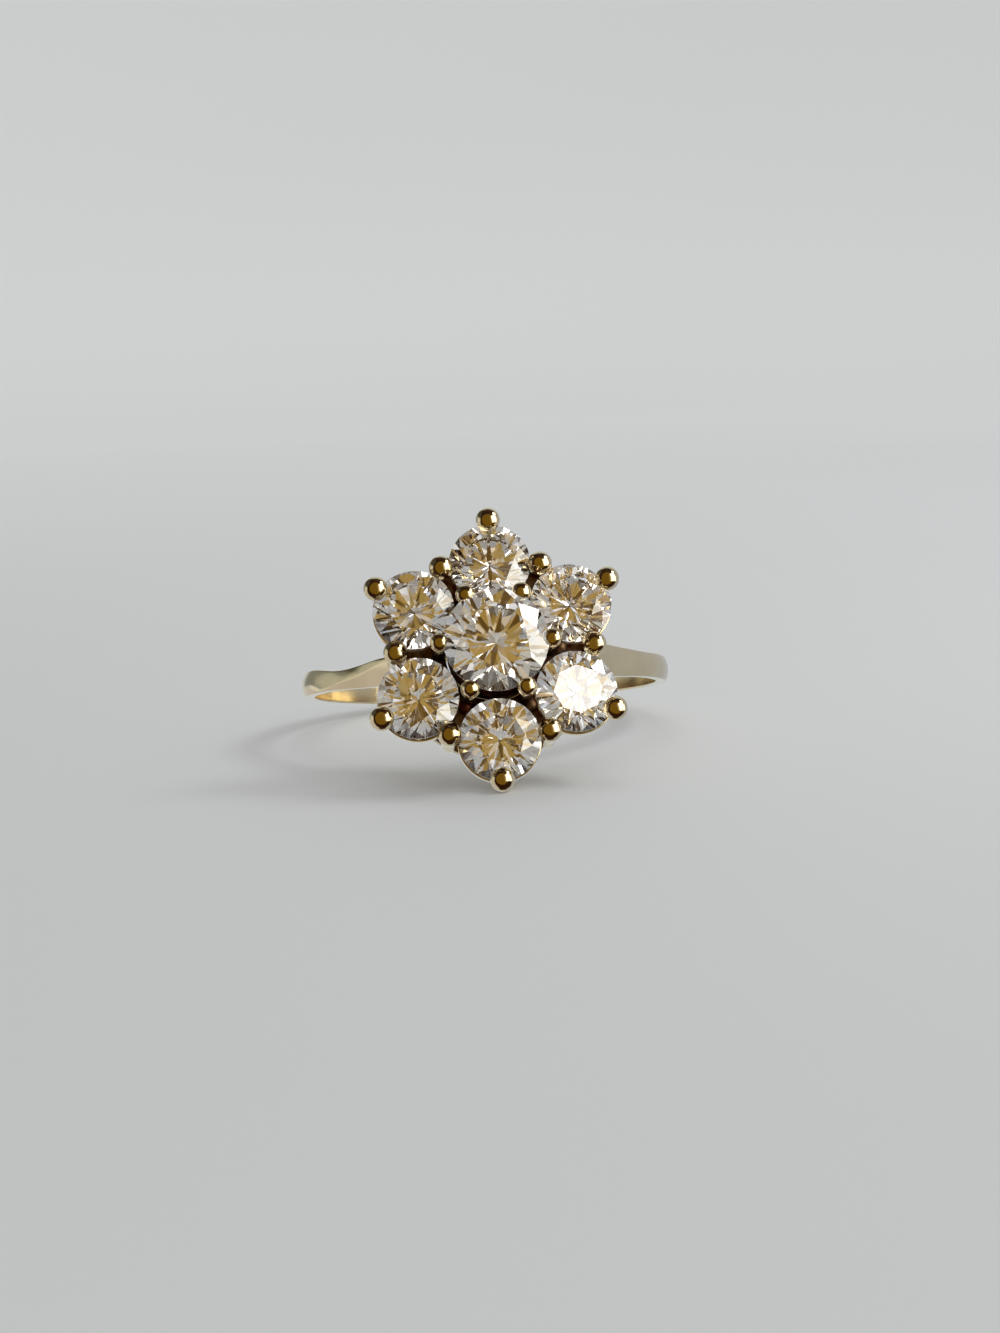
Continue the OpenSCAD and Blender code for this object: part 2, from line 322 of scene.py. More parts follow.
def averaged(points, count, closed):
    """Each point becomes the mean of the count points round it, twice over. A closed outline wraps
    round; an open path is carried on past its ends by a half turn about them, so the ends stay."""
    past_ends = {"mode": "wrap"} if closed else {"mode": "reflect", "reflect_type": "odd"}
    span = 2 * (count // 2) + 1
    start = count - count // 2
    for _ in range(2):
        wide = np.pad(points, ((count, count), (0, 0)), **past_ends)
        total = np.cumsum(np.vstack([np.zeros(points.shape[1]), wide]), axis=0)
        ends = total[start + span : start + span + len(points)]
        points = (ends - total[start : start + len(points)]) / span
    return points


def spaced(corners, count, closed):
    """Points at equal steps of length along the straight legs between the corners."""
    corners = np.asarray(corners, float)
    if closed:
        corners = np.vstack([corners, corners[:1]])
    ends = np.concatenate([[0], np.cumsum(np.linalg.norm(np.diff(corners, axis=0), axis=1))])
    at = np.linspace(0, ends[-1], count, endpoint=not closed)
    return np.stack([np.interp(at, ends, values) for values in corners.T], 1), ends[-1]


def rounded(corners, rounding, count, closed=True):
    """A polygon or an open path at equal steps, its corners rounded off over the given length."""
    points, whole = spaced(corners, count, closed)
    return averaged(points, max(1, round(rounding / whole * count / 2)), closed)


def grid_faces(rows, columns, rows_close, columns_close):
    """Four-sided faces of a grid, whose rows and columns close on themselves where asked."""
    i = np.arange(rows if rows_close else rows - 1)[:, None]
    j = np.arange(columns if columns_close else columns - 1)[None, :]
    below, after = (i + 1) % rows * columns, (j + 1) % columns
    i = i * columns
    return np.stack([i + j, i + after, below + after, below + j], -1).reshape(-1, 4)


def spun(outline, turns):
    """An outline of (radius, height) carried round the axis: x = r cos t, u = r sin t, h = h."""
    t = np.linspace(0, 2 * math.pi, turns, endpoint=False)[:, None]
    r, h = outline.T[:, None, :]
    return np.stack([r * np.cos(t), r * np.sin(t), h + 0 * t], -1)


def revolved(outline):
    """The points and faces of a closed outline carried round the head's axis."""
    faces = grid_faces(RING_TURNS, len(outline), True, True)
    return spun(outline, RING_TURNS).reshape(-1, 3), [faces]


def swept(path, radii, flatten=None):
    """A wire carried along a path of (out, height) in the plane u = 0. At each point the ring is
    path + radius (cos t N + sin t B), where N is the path's normal in its plane and B is across it,
    and a fan of triangles closes each end. flatten gives (along N, along B) for a bar's section, a
    squared circle: cos and sin are raised to a power below 1 with their signs kept."""
    along = np.gradient(path, axis=0)
    along /= np.linalg.norm(along, axis=1)[:, None]
    t = np.linspace(0, 2 * math.pi, WIRE_SIDES, endpoint=False)[None, :]
    across, side = np.cos(t), np.sin(t)
    if flatten:
        across = np.sign(across) * np.abs(across) ** SQUARED * flatten[0]
        side = np.sign(side) * np.abs(side) ** SQUARED * flatten[1]
    r = radii[:, None]
    out = path[:, :1] - r * across * along[:, 1:]
    height = path[:, 1:] + r * across * along[:, :1]
    grid = np.stack([out, r * side, height], -1).reshape(-1, 3)
    ends = np.stack([path[[0, -1], 0], [0, 0], path[[0, -1], 1]], -1)
    j = np.arange(WIRE_SIDES)
    after, last, middle = (j + 1) % WIRE_SIDES, len(grid) - WIRE_SIDES, len(grid) + 0 * j
    foot = np.stack([after, j, middle], 1)
    tip = np.stack([last + j, last + after, middle + 1], 1)
    return np.vstack([grid, ends]), [grid_faces(len(path), WIRE_SIDES, False, True), foot, tip]


def ball_tipped(corners, wire, ball, bend, rows=CLAW_ROWS):
    """A claw: a wire along the corners, whose last one is the middle of its ball. Inside the ball
    the radius is the sphere's, sqrt(R R - s s) at a distance s from its middle, and the wire meets
    it in a smooth neck, (a + b + sqrt((a - b)^2 + n n)) / 2 - n / 4 for the sphere's and the
    wire's radii a and b; beyond the middle the path runs straight on to the top of the ball."""
    stem = rounded(corners, bend, rows, closed=False)
    steps = np.linalg.norm(np.diff(stem[::-1], axis=0), axis=1)
    from_middle = np.concatenate([np.cumsum(steps)[::-1], [0]])
    sphere = np.sqrt(np.clip(ball**2 - from_middle**2, 0, None))
    neck = NECK * ball
    radii = 0.5 * (sphere + wire + np.sqrt((sphere - wire) ** 2 + neck**2)) - 0.25 * neck
    radii = np.minimum(radii, np.maximum(sphere, wire) + neck)
    radii = np.where(from_middle < 0.5 * ball, sphere, radii)
    way = (stem[-1] - stem[-2]) / np.linalg.norm(stem[-1] - stem[-2])
    phi = np.linspace(0, math.pi / 2, TOP_ROWS + 1)[1:-1]
    top = stem[-1] + ball * np.sin(phi)[:, None] * way
    return swept(np.vstack([stem, top]), np.concatenate([radii, ball * np.cos(phi)]))


def stone_planes(shape, gap):
    """The outline of a brilliant of radius 1 turned about its axis, as rows of (n_r, n_z, reach): a
    point (r, z) is inside where n_r r + n_z z < reach for every row."""
    table, girdle = shape.table, shape.girdle
    eighth = math.cos(math.pi / 8)
    star = table * eighth
    star += shape.star * (1 - star)
    table_z = girdle + (1 - table) * math.tan(shape.crown)
    star_z = table_z - (star * eighth - table) * math.tan(shape.crown)
    culet_z = -girdle - math.tan(shape.pavilion)
    lower_z = culet_z + shape.lower * eighth * math.tan(shape.pavilion)
    low = [(0, culet_z), (shape.lower, lower_z), (1, -girdle)]
    rim = np.array(low + [(1, girdle), (star, star_z), (table, table_z), (0, table_z)])
    legs = np.diff(rim, axis=0)
    normals = np.stack([legs[:, 1], -legs[:, 0]], 1)
    normals /= np.linalg.norm(normals, axis=1)[:, None]
    return normals, (normals * rim[:-1]).sum(1) + gap


def pressed_off(points, middle, axis, radius, shape, gap):
    """Moves points that lie inside a stone out to its surface, the shortest way across its outline,
    as a claw is filed to fit its stone. r is the distance from the stone's axis and z along it."""
    normals, reach = stone_planes(shape, gap / radius)
    away = (points - middle) / radius
    z = away @ axis
    out = away - z[:, None] * axis
    r = np.linalg.norm(out, axis=1)
    depth = reach[None, :] - np.stack([r, z], 1) @ normals.T
    inside = (depth > 0).all(1)
    nearest = depth.argmin(1)
    push = normals[nearest] * depth[np.arange(len(points)), nearest][:, None]
    push = push * inside[:, None] * radius
    outward = out / np.maximum(r, 1e-9)[:, None]
    return points + push[:, :1] * outward + push[:, 1:] * axis


def off_stones(points, context):
    """Presses points of the head off every stone that they could reach."""
    scene = context.scene
    sizes, shape, gap = scene.ring_head, scene.ring_stone, scene.ring_claws.gap
    stem = np.array([[0.0, 0.0, 0.0], [0.0, 0.0, 1.0 * MM]])
    for turn in np.arange(PETALS) * PETAL_STEP + FIRST_PETAL:
        middle, above = turned(at_petal(stem, sizes), turn)
        points = pressed_off(points, middle, (above - middle) / MM, sizes.petal_r, shape, gap)
    middle = np.array([0, 0, sizes.centre_h])
    return pressed_off(points, middle, np.array([0, 0, 1.0]), sizes.centre_r, shape, gap)


def round_the_head(surface, context, first):
    """Repeats a surface at every petal or notch: pressed off the stones, turned about the head."""
    points, faces = surface
    for i in range(PETALS):
        placed = off_stones(turned(points, first + i * PETAL_STEP), context)
        yield leaned(placed, context.scene.ring_head), faces


def smooth_object(name, points, faces, material):
    """Makes an object of points and faces, smooth and of one material, at the origin."""
    mesh = bpy.data.meshes.new(name)
    mesh.from_pydata(points.tolist(), [], faces)
    mesh.shade_smooth()
    mesh.materials.append(material)
    made = bpy.data.objects.new(name, mesh)
    bpy.context.scene.collection.objects.link(made)
    return made


def piece(name, surfaces, material):
    """Joins surfaces, each of points in the ring's own frame and arrays of faces, into one smooth
    object on the floor, no lower than it, which stands for the mount's solid."""
    points, faces, first = [], [], 0
    for grid, arrays in surfaces:
        points.append(grid)
        faces += [face for corners in arrays for face in (corners + first).tolist()]
        first += len(grid)
    points = laid(np.vstack(points))
    points[:, 2] = np.maximum(points[:, 2], 0)
    made = smooth_object(name, points, faces, material)
    made.data.validate()
    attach(made, BODY)
    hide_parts(MOUNT_NODE)


# Materials


def add(tree, kind, inputs=None, **settings):
    """Adds a shader node with its settings; an input that is a socket is linked, any other is its
    value."""
    made = tree.nodes.new("ShaderNode" + kind)
    for name, value in settings.items():
        setattr(made, name, value)
    for name, value in (inputs or {}).items():
        if isinstance(value, bpy.types.NodeSocket):
            tree.links.new(value, made.inputs[name])
        else:
            made.inputs[name].default_value = value
    return made


def blank_material(name):
    """A new material without nodes, and its node tree."""
    material = bpy.data.materials.new(name)
    material.use_nodes = True
    material.node_tree.nodes.clear()
    return material, material.node_tree


def per_metre(millimetres):
    """The noise scale that gives features of this size on coordinates in metres."""
    return 1 / (millimetres * MM)


def layered(tree, pattern, shade, layers, step="LINEAR"):
    """Lays more shades over the first. Each layer gives the pattern's value where it starts to
    show, the value where it covers, and its shade. The two colours of a Mix node are its inputs 6
    and 7, and what they make is its output 2."""
    for start, end, layer in layers:
        span = {"Value": pattern, "From Min": start, "From Max": end}
        share = add(tree, "MapRange", span, interpolation_type=step).outputs["Result"]
        shade = add(tree, "Mix", {0: share, 6: shade, 7: layer}, data_type="RGBA").outputs[2]
    return shade


def soil_and_shade_share(tree, place, finish, sizes, soiled_and_shaded, soil_and_shade_top):
    """How far old polish and dirt, and painted shade, cover the gold: patchy, and only deep in the
    head under the stones, where no cloth reaches and shade falls. Each limit gives what it
    measures, and where the metal is clean and where soiled."""
    # The head's own frame: Z is the height above the finger's axis
    axis = {"Vector": place, "Location": laid(leaned(np.zeros(3), sizes))}
    axis["Rotation"] = (math.pi / 2 - sizes.lean - REST_TILT, 0, 0)
    in_head = add(tree, "Mapping", axis, vector_type="TEXTURE").outputs["Vector"]
    parts = add(tree, "SeparateXYZ", {"Vector": in_head}).outputs
    across = add(tree, "CombineXYZ", {"X": parts["X"], "Y": parts["Y"]}).outputs["Vector"]
    radius = add(tree, "VectorMath", {0: across}, operation="LENGTH").outputs["Value"]
    cloud = add(tree, "TexNoise", {"Vector": place, "Scale": per_metre(0.7), "Detail": 4.0})
    # The patches never clear wholly
    patches = {"Value": cloud.outputs["Fac"], "From Min": 0.3, "From Max": 0.6}
    patches |= {"To Min": 0.72 * soiled_and_shaded, "To Max": soiled_and_shaded}
    share = add(tree, "MapRange", patches).outputs["Result"]
    for measure, clean, dirty in (
        (parts["Z"], soil_and_shade_top + 0.25 * MM, soil_and_shade_top - 0.35 * MM),
        (parts["Z"], finish.soil_and_shade_low - 0.5 * MM, finish.soil_and_shade_low + 0.5 * MM),
        (radius, finish.soil_and_shade_reach + 0.5 * MM, finish.soil_and_shade_reach - 0.3 * MM),
    ):
        span = {"Value": measure, "From Min": clean, "From Max": dirty}
        limit = add(tree, "MapRange", span, interpolation_type="SMOOTHSTEP").outputs["Result"]
        share = add(tree, "Math", {0: share, 1: limit}, operation="MULTIPLY").outputs["Value"]
    return share


def cast_gold(name, finish, sizes, soiled_and_shaded, soil_and_shade_top, rough_low, rough_high, wavy):
    """Pale yellow gold of about 9 carat, cast and polished by hand: bright and a little uneven,
    with hair-fine polishing marks and slow waves in the surface that break up its reflections.
    Where it is soiled, it is darker and duller: old dirt, and painted shade deep in the head."""
    material, tree = blank_material(name)
    place = add(tree, "TexCoord").outputs["Object"]
    cloud = add(tree, "TexNoise", {"Vector": place, "Scale": per_metre(1.6), "Detail": 3.0})
    gold = layered(tree, cloud.outputs["Fac"], finish.gold, [(0, 1, finish.gold_deep)])
    # Polishing marks run round the shank: real ones are some 0.01 mm apart, drawn 0.03 mm apart and
    # 0.2 mm long so that they show
    long_way = add(tree, "Mapping", {"Vector": place, "Scale": (1.0, 1.0, 6.0)}).outputs["Vector"]
    marks = add(tree, "TexNoise", {"Vector": long_way, "Scale": per_metre(0.2), "Detail": 6.0})
    marks = marks.outputs["Fac"]
    worn = {"Value": marks, "From Min": 0.3, "From Max": 0.7}
    worn |= {"To Min": rough_low, "To Max": rough_high}
    rough = add(tree, "MapRange", worn).outputs["Result"]
    edge = (1, 1, 1, 1)
    if soiled_and_shaded:
        soil_and_shade = soil_and_shade_share(tree, place, finish, sizes, soiled_and_shaded, soil_and_shade_top)
        # Deep in the head the gold darkens to the soil colour: old dirt, and painted shade under
        # the stones
        gold = layered(tree, soil_and_shade, gold, [(0, 1, finish.soil_and_shade)])
        # Soil and painted shade are matt: they stay dark where seen along the surface,
        # and add to the roughness
        edge = layered(tree, soil_and_shade, edge, [(0, 1, finish.soil_and_shade)])
        dulled = {0: soil_and_shade, 1: 0.3, 2: rough}
        rough = add(tree, "Math", dulled, operation="MULTIPLY_ADD").outputs["Value"]
    waves = add(tree, "TexNoise", {"Vector": place, "Scale": per_metre(0.9), "Detail": 1.0})
    slow = {"Height": waves.outputs["Fac"], "Strength": wavy, "Distance": 0.1 * MM}
    ripple = add(tree, "Bump", slow).outputs["Normal"]
    fine = {"Height": marks, "Strength": 0.06, "Distance": 0.01 * MM, "Normal": ripple}
    surface = {
        "Base Color": gold,
        "Metallic": 1.0,
        "Specular Tint": edge,
        "Roughness": rough,
        "Normal": add(tree, "Bump", fine).outputs["Normal"],
    }
    shader = add(tree, "BsdfPrincipled", surface)
    add(tree, "OutputMaterial", {"Surface": shader.outputs["BSDF"]})
    return material


def cut_zirconia(finish):
    """Cubic zirconia, sawn, ground and polished: clear as glass, but it bends light far more, so
    that it returns nearly all of it through the crown. Its strong dispersion gives faint coloured
    flashes, drawn as slow warm and cool patches, and a trace of grease dulls it here and there."""
    material, tree = blank_material("cut_cubic_zirconia")
    place = add(tree, "TexCoord").outputs["Object"]
    flashes = add(tree, "TexNoise", {"Vector": place, "Scale": per_metre(0.8), "Detail": 1.0})
    layers = ((0.45, 0.65, finish.stone_warm), (0.5, 0.35, finish.stone_cool))
    grease = add(tree, "TexNoise", {"Vector": place, "Scale": per_metre(1.2), "Detail": 3.0})
    smears = {"Value": grease.outputs["Fac"], "From Min": 0.45, "From Max": 0.75, "To Max": 0.03}
    surface = {
        "Base Color": layered(tree, flashes.outputs["Fac"], finish.stone, layers),
        "Roughness": add(tree, "MapRange", smears).outputs["Result"],
        "IOR": finish.stone_ior,
        "Transmission Weight": 1.0,
    }
    shader = add(tree, "BsdfPrincipled", surface)
    add(tree, "OutputMaterial", {"Surface": shader.outputs["BSDF"]})
    return material


def matt_sheet(settings):
    """Matt white plastic sheet, lit softly from behind where it rises to the backdrop: even, with a
    faint slow unevenness."""
    material, tree = blank_material("matt_white_sheet")
    place = add(tree, "TexCoord").outputs["Object"]
    cloud = add(tree, "TexNoise", {"Vector": place, "Scale": per_metre(60), "Detail": 2.0})
    darker = [c * 0.97 for c in settings.floor[:3]] + [1.0]
    away = add(tree, "VectorMath", {0: place}, operation="LENGTH").outputs["Value"]
    lit = {"Value": away, "From Min": settings.glow_from, "From Max": settings.glow_to}
    lit |= {"To Min": settings.glow_near, "To Max": settings.glow}
    glow = add(tree, "MapRange", lit, interpolation_type="SMOOTHSTEP")
    surface = {
        "Base Color": layered(tree, cloud.outputs["Fac"], settings.floor, [(0, 1, darker)]),
        "Roughness": 0.9,
        "Emission Color": settings.floor,
        "Emission Strength": glow.outputs["Result"],
    }
    shader = add(tree, "BsdfPrincipled", surface)
    add(tree, "OutputMaterial", {"Surface": shader.outputs["BSDF"]})
    return material


def glowing_card(name, shades, grain):
    """Card, softly lit from within: of one shade, or in dark, middle and pale patches as wide as
    the grain in mm."""
    material, tree = blank_material(name)
    tone = shades[0]
    if grain:
        place = add(tree, "TexCoord").outputs["Object"]
        cloud = add(tree, "TexNoise", {"Vector": place, "Scale": per_metre(grain), "Detail": 1.0})
        layers = ((0.4, 0.45, shades[1]), (0.6, 0.63, shades[2]))
        tone = layered(tree, cloud.outputs["Fac"], tone, layers)
    glow = add(tree, "Emission", {"Color": tone, "Strength": 1.0})
    add(tree, "OutputMaterial", {"Surface": glow.outputs["Emission"]})
    return material


def shared_gold(context, kind):
    """The gold of the shank, the claws or the gallery, made once. Each row gives how far it is
    darkened by soil and painted shade, up to what height in the head, its roughness from and to,
    and how wavy it is."""
    finish, sizes = context.scene.ring_finish, context.scene.ring_head
    values = {
        "satin_cast_gold": (0.0, 0.0, 0.12, 0.2, 0.025),
        "polished_cast_gold": (0.9, finish.soil_and_shade_top, 0.08, 0.18, 0.8),
        "soiled_and_shaded_stem_gold": (0.95, finish.soil_and_shade_top + 1.2 * MM, 0.08, 0.18, 0.8),
        "soiled_and_shaded_cast_gold": (1.0, sizes.centre_h + 1 * MM, 0.14, 0.3, 0.5),
    }[kind]
    return bpy.data.materials.get(kind) or cast_gold(kind, finish, sizes, *values)


# Operators


class RING_OT_shank(bpy.types.Operator):
    """Builds the shank with its two shoulders"""

    bl_idname = "ring.shank"
    bl_label = "Shank"

    def execute(self, context):
        """The section at each angle a from the head is an outline of (radius, height). Its outer
        face is r = R - dome t t, where t runs from -1 to 1 across the width; the width and R grow
        by an eased step towards the head, and the bore lifts to the base ring at the ends. On the
        left the upper edge dips in a waist, and a ridge, a roof |t - t0|, takes over from the dome
        and slants from the lower edge at the side (t0 = -1) to the upper by the head (t0 = 1)."""
        s = context.scene.ring_shank
        a = np.linspace(s.open_to, 2 * math.pi - s.open_to, SHANK_ROWS)[:, None]
        from_head = np.minimum(a, 2 * math.pi - a)
        left = a > math.pi
        flare = eased(from_head, s.flare_from, s.flare_to)
        narrowest = (s.waist_from + s.waist_to) / 2
        waist = eased(from_head, s.waist_from, narrowest) * eased(from_head, s.waist_to, narrowest)
        flared = np.where(left, s.left_up * flare - s.left_waist * waist, s.shoulder_up * flare)
        up, down = s.width / 2 + flared, s.width / 2 + s.shoulder_down * flare
        top = HOLE_RADIUS + s.thickness + s.shoulder_rise * eased(from_head, s.rise_from, s.rise_to)
        face = np.linspace(-1, 1, DOME_POINTS)[None, :]
        t0 = np.interp(from_head, [s.ridge_head, s.ridge_side], [1, -1])
        fade = left * eased(from_head, s.ridge_side + RIDGE_FADE, s.ridge_side - RIDGE_FADE)
        roof = s.ridge * np.abs(face - t0) * fade
        outer = top - s.dome * face**2 * (1 - RIDGE_FLAT * fade) - roof
        bore = HOLE_RADIUS + s.end_lift * eased(from_head, s.lift_from, s.open_to)
        # The outline's corners: the bore's two edges, then points across the domed face
        r = np.concatenate([bore, bore, outer], axis=1)
        t = np.concatenate([[[1, -1]], face], axis=1)
        corners = np.stack([r, (up - down) / 2 + (up + down) / 2 * t], -1)
        outlines = np.stack([rounded(section, s.edge_round, SHANK_COLUMNS) for section in corners])
        r, z = outlines[..., 0], outlines[..., 1]
        points = np.stack([r * np.sin(a), -r * np.cos(a), z], -1).reshape(-1, 3)
        around = grid_faces(SHANK_ROWS, SHANK_COLUMNS, False, True)[:, ::-1]
        end = np.arange(SHANK_COLUMNS)[None, :]
        faces = [around, end, len(points) - 1 - end]
        piece("shank", [(points, faces)], shared_gold(context, "satin_cast_gold"))
        return {"FINISHED"}


class RING_OT_gallery(bpy.types.Operator):
    """Builds the base ring, the rails, the bars and the seats under the stones"""

    bl_idname = "ring.gallery"
    bl_label = "Gallery"

    def execute(self, context):
        s, c = context.scene.ring_head, context.scene.ring_claws
        # The gallery deep in the head is darkened: old dirt, and painted shade under the stones
        soiled_and_shaded = shared_gold(context, "soiled_and_shaded_cast_gold")
        clean = shared_gold(context, "polished_cast_gold")

        def band(inner, outer, low, high, rounding=BAND_EDGE, slope=0):
            """A ring of four-cornered section, its lower outer corner drawn in by the slope."""
            section = [(inner, low), (outer - slope, low), (outer, high), (inner, high)]
            return revolved(rounded(section, rounding, SECTION_POINTS))

        base = band(s.base_in, s.base_out, s.base_low, s.base_high)
        t = np.linspace(0, 2 * math.pi, WIRE_POINTS, endpoint=False)
        wire = [s.rail_circle + s.rail_wire * np.cos(t), s.rail_h + s.rail_wire * np.sin(t)]
        rail = revolved(np.stack(wire, 1))
        lower = [(leaned(ring, s), faces) for ring, faces in (base, rail)]
        piece("base_ring_and_rail", lower, clean)

        inner = band(s.inner_in, s.inner_out, s.inner_low, s.inner_high)
        wall = (s.centre_r - s.collet_in, s.centre_r - s.collet_out)
        low, high = s.centre_h - s.collet_low, s.centre_h - s.seat_high
        collet = band(*wall, low, high, WALL_EDGE, s.collet_slope)
        middle = [(leaned(off_stones(ring, context), s), faces) for ring, faces in (inner, collet)]
        path = spaced([(c.centre_circle, s.bar_h), (c.notch_circle, s.bar_h)], BAR_ROWS, False)[0]
        bar = swept(path, np.ones(BAR_ROWS), (s.bar_tall / 2, s.bar_wide / 2))
        middle += round_the_head(bar, context, FIRST_NOTCH)
        piece("inner_rail_collet_and_bars", middle, soiled_and_shaded)

        wall = (s.petal_r - s.seat_in, s.petal_r + s.seat_out)
        ring, faces = band(*wall, -s.seat_low, -s.seat_high, WALL_EDGE)
        seats = round_the_head((at_petal(ring, s), faces), context, FIRST_PETAL)
        piece("petal_seats", seats, clean)
        return {"FINISHED"}


class RING_OT_outer_claws(bpy.types.Operator):
    """Builds the six tip claws and the six claws between the petals"""

    bl_idname = "ring.outer_claws"
    bl_label = "Outer claws"

    def execute(self, context):
        c = context.scene.ring_claws
        clean = shared_gold(context, "polished_cast_gold")
        for name, knee, circle, first in (
            ("tip_claws", (c.knee_circle, c.knee_h), c.tip_circle, FIRST_PETAL),
            ("notch_claws", (c.notch_circle, c.notch_knee_h), c.notch_circle, FIRST_NOTCH),
        ):
            corners = [(c.foot_circle, c.foot_h), knee, (circle, c.outer_h)]
            claw = ball_tipped(corners, c.outer_wire, c.outer_ball, c.bend)
            piece(name, round_the_head(claw, context, first), clean)
        return {"FINISHED"}


class RING_OT_centre_claws(bpy.types.Operator):
    """Builds the six claws of the centre stone and the six low knobs outside them"""

    bl_idname = "ring.centre_claws"
    bl_label = "Centre claws"

    def execute(self, context):
        c = context.scene.ring_claws
        stem = [(c.centre_circle, c.foot_h), (c.centre_circle, c.centre_h)]
        claw = ball_tipped(stem, c.centre_wire, c.centre_ball, c.bend)
        # The centre stems are darkened below the centre stone: old dirt, and painted shade
        gold = shared_gold(context, "soiled_and_shaded_stem_gold")
        piece("centre_claws", round_the_head(claw, context, FIRST_NOTCH), gold)
        stem = [(c.knob_circle, context.scene.ring_head.bar_h), (c.knob_circle, c.knob_h)]
        knob = ball_tipped(stem, c.knob_wire, c.knob_ball, c.bend, KNOB_ROWS)
        gold = shared_gold(context, "soiled_and_shaded_cast_gold")
        piece("inner_knobs", round_the_head(knob, context, FIRST_NOTCH), gold)
        return {"FINISHED"}


class RING_OT_stones(bpy.types.Operator):
    """Finishes the seven cut stones, whose facets come from the frame"""

    bl_idname = "ring.stones"
    bl_label = "Stones"

    def execute(self, context):
        material = cut_zirconia(context.scene.ring_finish)
        for name in STONE_NODES:
            slots = frame["nodes"][name].data.materials
            slots.clear()
            slots.append(material)
        return {"FINISHED"}


